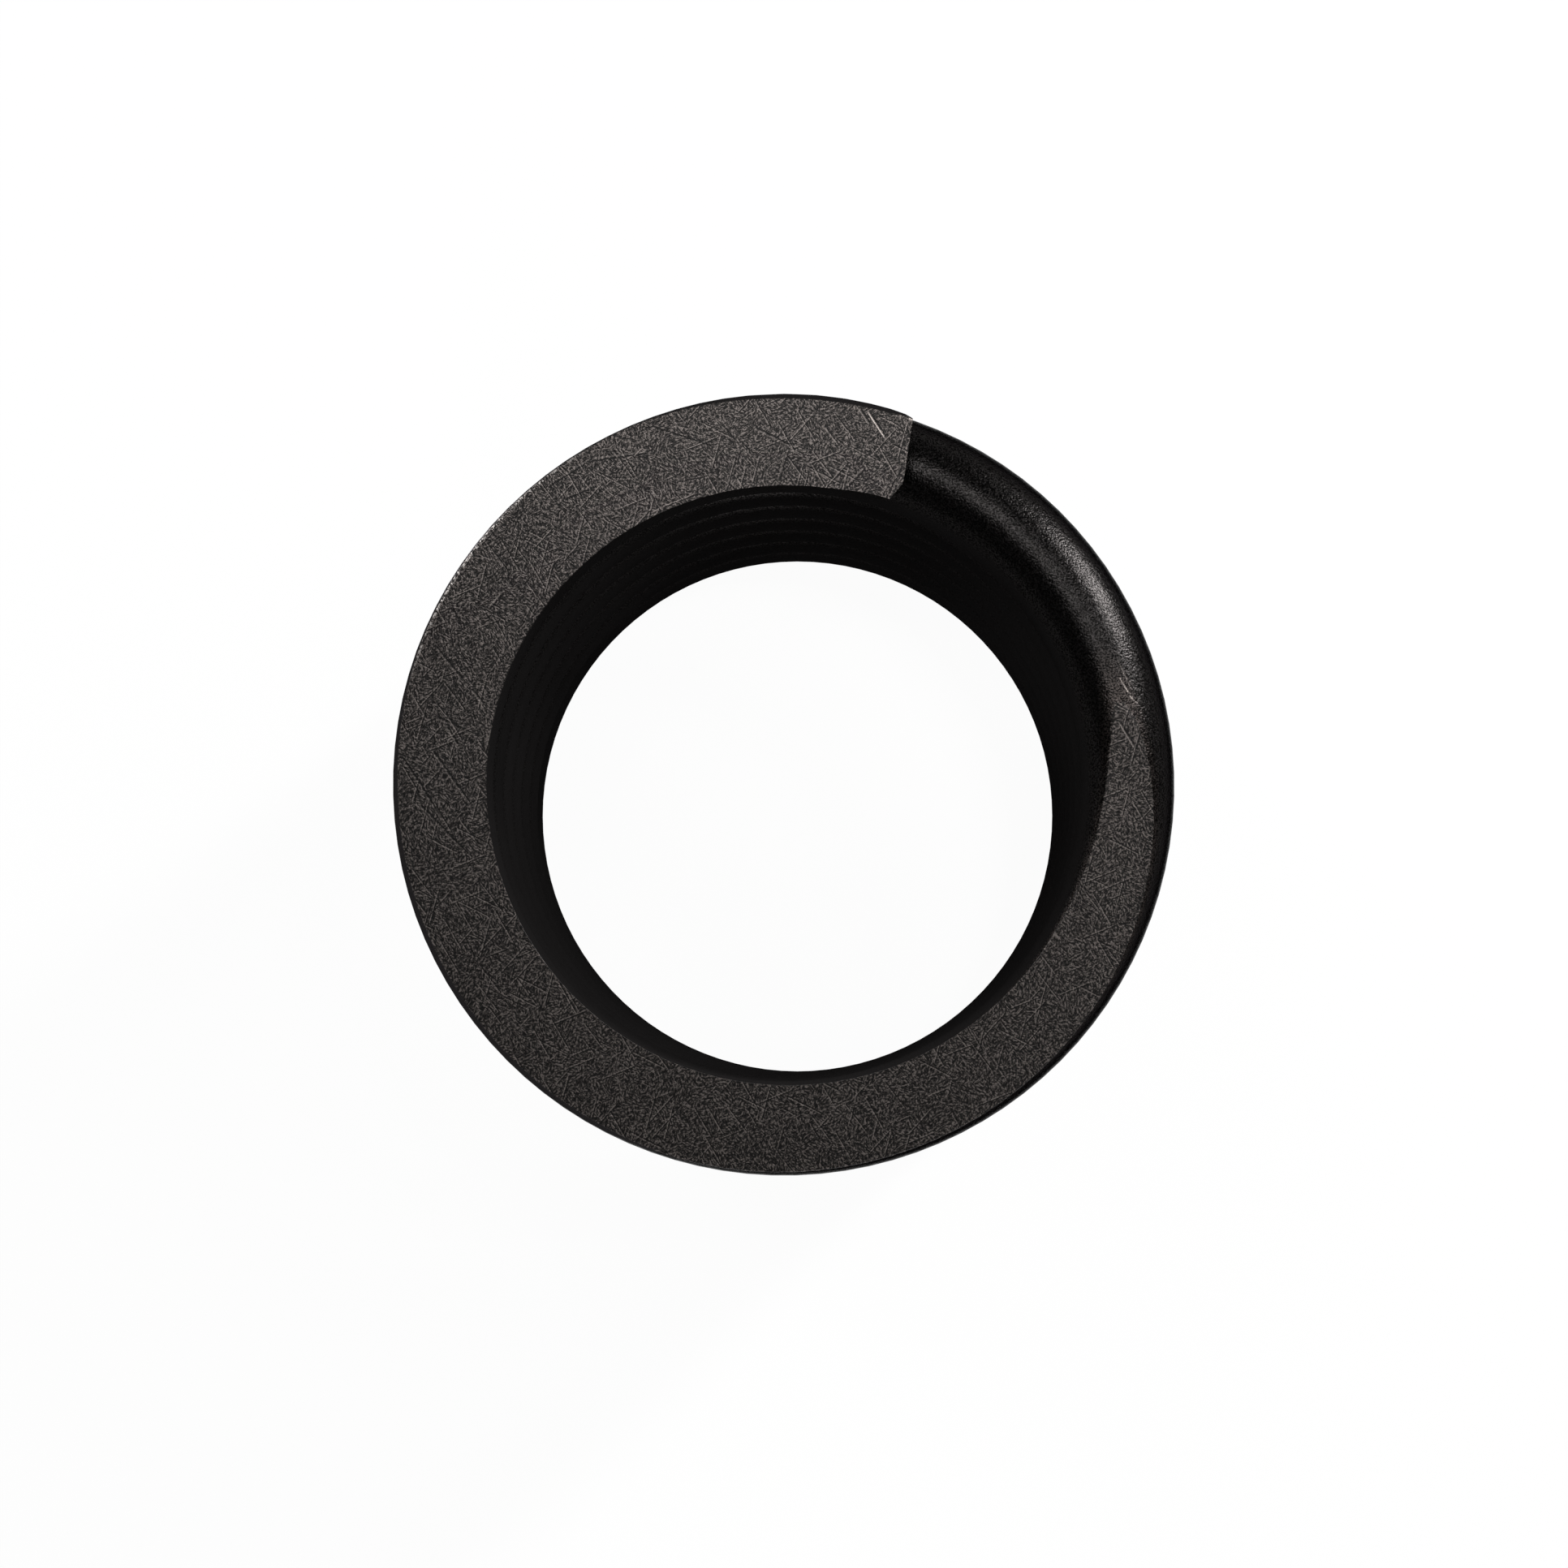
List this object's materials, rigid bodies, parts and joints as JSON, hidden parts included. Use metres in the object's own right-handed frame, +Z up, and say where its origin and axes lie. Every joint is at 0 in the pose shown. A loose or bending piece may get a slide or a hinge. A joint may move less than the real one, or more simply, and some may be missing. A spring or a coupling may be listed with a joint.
{
  "type": "helical compression spring",
  "caption": "Black round-wire helical compression spring, left-hand wound, with closed and ground ends that seat flat on a collar or cup.",
  "frame": {"origin": "centre of the lower ground face, on the axis of the spring", "axes": "+Z up the spring's axis to the upper ground face; the upper wire tip lies 70 degrees counter-clockwise from +X, seen from above"},
  "size_m": [0.079, 0.079, 0.15],
  "materials": {
    "spring_wire": "semi-gloss black"
  },
  "bodies": {
    "lower_end_coil": {"coil_7_quarter_3": "spring_wire", "coil_7_quarter_4": "spring_wire", "coil_8_quarter_1": "spring_wire", "coil_8_quarter_2": "spring_wire", "coil_8_quarter_3": "spring_wire"},
    "upper_end_coil": {"coil_1_quarter_1": "spring_wire", "coil_1_quarter_2": "spring_wire", "coil_1_quarter_3": "spring_wire", "coil_1_quarter_4": "spring_wire", "coil_2_quarter_1": "spring_wire"},
    "coil_2_quarter_2": {"coil_2_quarter_2": "spring_wire"},
    "coil_2_quarter_3": {"coil_2_quarter_3": "spring_wire"},
    "coil_2_quarter_4": {"coil_2_quarter_4": "spring_wire"},
    "coil_3_quarter_1": {"coil_3_quarter_1": "spring_wire"},
    "coil_3_quarter_2": {"coil_3_quarter_2": "spring_wire"},
    "coil_3_quarter_3": {"coil_3_quarter_3": "spring_wire"},
    "coil_3_quarter_4": {"coil_3_quarter_4": "spring_wire"},
    "coil_4_quarter_1": {"coil_4_quarter_1": "spring_wire"},
    "coil_4_quarter_2": {"coil_4_quarter_2": "spring_wire"},
    "coil_4_quarter_3": {"coil_4_quarter_3": "spring_wire"},
    "coil_4_quarter_4": {"coil_4_quarter_4": "spring_wire"},
    "coil_5_quarter_1": {"coil_5_quarter_1": "spring_wire"},
    "coil_5_quarter_2": {"coil_5_quarter_2": "spring_wire"},
    "coil_5_quarter_3": {"coil_5_quarter_3": "spring_wire"},
    "coil_5_quarter_4": {"coil_5_quarter_4": "spring_wire"},
    "coil_6_quarter_1": {"coil_6_quarter_1": "spring_wire"},
    "coil_6_quarter_2": {"coil_6_quarter_2": "spring_wire"},
    "coil_6_quarter_3": {"coil_6_quarter_3": "spring_wire"},
    "coil_6_quarter_4": {"coil_6_quarter_4": "spring_wire"},
    "coil_7_quarter_1": {"coil_7_quarter_1": "spring_wire"},
    "coil_7_quarter_2": {"coil_7_quarter_2": "spring_wire"}
  },
  "joints": [
    {"name": "compression", "type": "slide", "parent": "lower_end_coil", "child": "upper_end_coil", "axis": [0, 0, -1], "range_m": [0, 0.075], "stiffness_N_per_m": 42000},
    {"name": "coil_2_quarter_2_sink", "type": "slide", "parent": "lower_end_coil", "child": "coil_2_quarter_2", "axis": [0, 0, -1], "range_m": [0, 0.0716]},
    {"name": "coil_2_quarter_3_sink", "type": "slide", "parent": "lower_end_coil", "child": "coil_2_quarter_3", "axis": [0, 0, -1], "range_m": [0, 0.06819]},
    {"name": "coil_2_quarter_4_sink", "type": "slide", "parent": "lower_end_coil", "child": "coil_2_quarter_4", "axis": [0, 0, -1], "range_m": [0, 0.06478]},
    {"name": "coil_3_quarter_1_sink", "type": "slide", "parent": "lower_end_coil", "child": "coil_3_quarter_1", "axis": [0, 0, -1], "range_m": [0, 0.06137]},
    {"name": "coil_3_quarter_2_sink", "type": "slide", "parent": "lower_end_coil", "child": "coil_3_quarter_2", "axis": [0, 0, -1], "range_m": [0, 0.05797]},
    {"name": "coil_3_quarter_3_sink", "type": "slide", "parent": "lower_end_coil", "child": "coil_3_quarter_3", "axis": [0, 0, -1], "range_m": [0, 0.05455]},
    {"name": "coil_3_quarter_4_sink", "type": "slide", "parent": "lower_end_coil", "child": "coil_3_quarter_4", "axis": [0, 0, -1], "range_m": [0, 0.05115]},
    {"name": "coil_4_quarter_1_sink", "type": "slide", "parent": "lower_end_coil", "child": "coil_4_quarter_1", "axis": [0, 0, -1], "range_m": [0, 0.04774]},
    {"name": "coil_4_quarter_2_sink", "type": "slide", "parent": "lower_end_coil", "child": "coil_4_quarter_2", "axis": [0, 0, -1], "range_m": [0, 0.04433]},
    {"name": "coil_4_quarter_3_sink", "type": "slide", "parent": "lower_end_coil", "child": "coil_4_quarter_3", "axis": [0, 0, -1], "range_m": [0, 0.04092]},
    {"name": "coil_4_quarter_4_sink", "type": "slide", "parent": "lower_end_coil", "child": "coil_4_quarter_4", "axis": [0, 0, -1], "range_m": [0, 0.03751]},
    {"name": "coil_5_quarter_1_sink", "type": "slide", "parent": "lower_end_coil", "child": "coil_5_quarter_1", "axis": [0, 0, -1], "range_m": [0, 0.0341]},
    {"name": "coil_5_quarter_2_sink", "type": "slide", "parent": "lower_end_coil", "child": "coil_5_quarter_2", "axis": [0, 0, -1], "range_m": [0, 0.03069]},
    {"name": "coil_5_quarter_3_sink", "type": "slide", "parent": "lower_end_coil", "child": "coil_5_quarter_3", "axis": [0, 0, -1], "range_m": [0, 0.02728]},
    {"name": "coil_5_quarter_4_sink", "type": "slide", "parent": "lower_end_coil", "child": "coil_5_quarter_4", "axis": [0, 0, -1], "range_m": [0, 0.02387]},
    {"name": "coil_6_quarter_1_sink", "type": "slide", "parent": "lower_end_coil", "child": "coil_6_quarter_1", "axis": [0, 0, -1], "range_m": [0, 0.02047]},
    {"name": "coil_6_quarter_2_sink", "type": "slide", "parent": "lower_end_coil", "child": "coil_6_quarter_2", "axis": [0, 0, -1], "range_m": [0, 0.01706]},
    {"name": "coil_6_quarter_3_sink", "type": "slide", "parent": "lower_end_coil", "child": "coil_6_quarter_3", "axis": [0, 0, -1], "range_m": [0, 0.01365]},
    {"name": "coil_6_quarter_4_sink", "type": "slide", "parent": "lower_end_coil", "child": "coil_6_quarter_4", "axis": [0, 0, -1], "range_m": [0, 0.01024]},
    {"name": "coil_7_quarter_1_sink", "type": "slide", "parent": "lower_end_coil", "child": "coil_7_quarter_1", "axis": [0, 0, -1], "range_m": [0, 0.00683]},
    {"name": "coil_7_quarter_2_sink", "type": "slide", "parent": "lower_end_coil", "child": "coil_7_quarter_2", "axis": [0, 0, -1], "range_m": [0, 0.00342]}
  ],
  "couplings": [
    {"joint": "coil_2_quarter_2_sink", "follows": "compression", "ratio": 0.95455},
    {"joint": "coil_2_quarter_3_sink", "follows": "compression", "ratio": 0.90909},
    {"joint": "coil_2_quarter_4_sink", "follows": "compression", "ratio": 0.86364},
    {"joint": "coil_3_quarter_1_sink", "follows": "compression", "ratio": 0.81818},
    {"joint": "coil_3_quarter_2_sink", "follows": "compression", "ratio": 0.77273},
    {"joint": "coil_3_quarter_3_sink", "follows": "compression", "ratio": 0.72727},
    {"joint": "coil_3_quarter_4_sink", "follows": "compression", "ratio": 0.68182},
    {"joint": "coil_4_quarter_1_sink", "follows": "compression", "ratio": 0.63636},
    {"joint": "coil_4_quarter_2_sink", "follows": "compression", "ratio": 0.59091},
    {"joint": "coil_4_quarter_3_sink", "follows": "compression", "ratio": 0.54545},
    {"joint": "coil_4_quarter_4_sink", "follows": "compression", "ratio": 0.5},
    {"joint": "coil_5_quarter_1_sink", "follows": "compression", "ratio": 0.45455},
    {"joint": "coil_5_quarter_2_sink", "follows": "compression", "ratio": 0.40909},
    {"joint": "coil_5_quarter_3_sink", "follows": "compression", "ratio": 0.36364},
    {"joint": "coil_5_quarter_4_sink", "follows": "compression", "ratio": 0.31818},
    {"joint": "coil_6_quarter_1_sink", "follows": "compression", "ratio": 0.27273},
    {"joint": "coil_6_quarter_2_sink", "follows": "compression", "ratio": 0.22727},
    {"joint": "coil_6_quarter_3_sink", "follows": "compression", "ratio": 0.18182},
    {"joint": "coil_6_quarter_4_sink", "follows": "compression", "ratio": 0.13636},
    {"joint": "coil_7_quarter_1_sink", "follows": "compression", "ratio": 0.090909},
    {"joint": "coil_7_quarter_2_sink", "follows": "compression", "ratio": 0.045455}
  ]
}
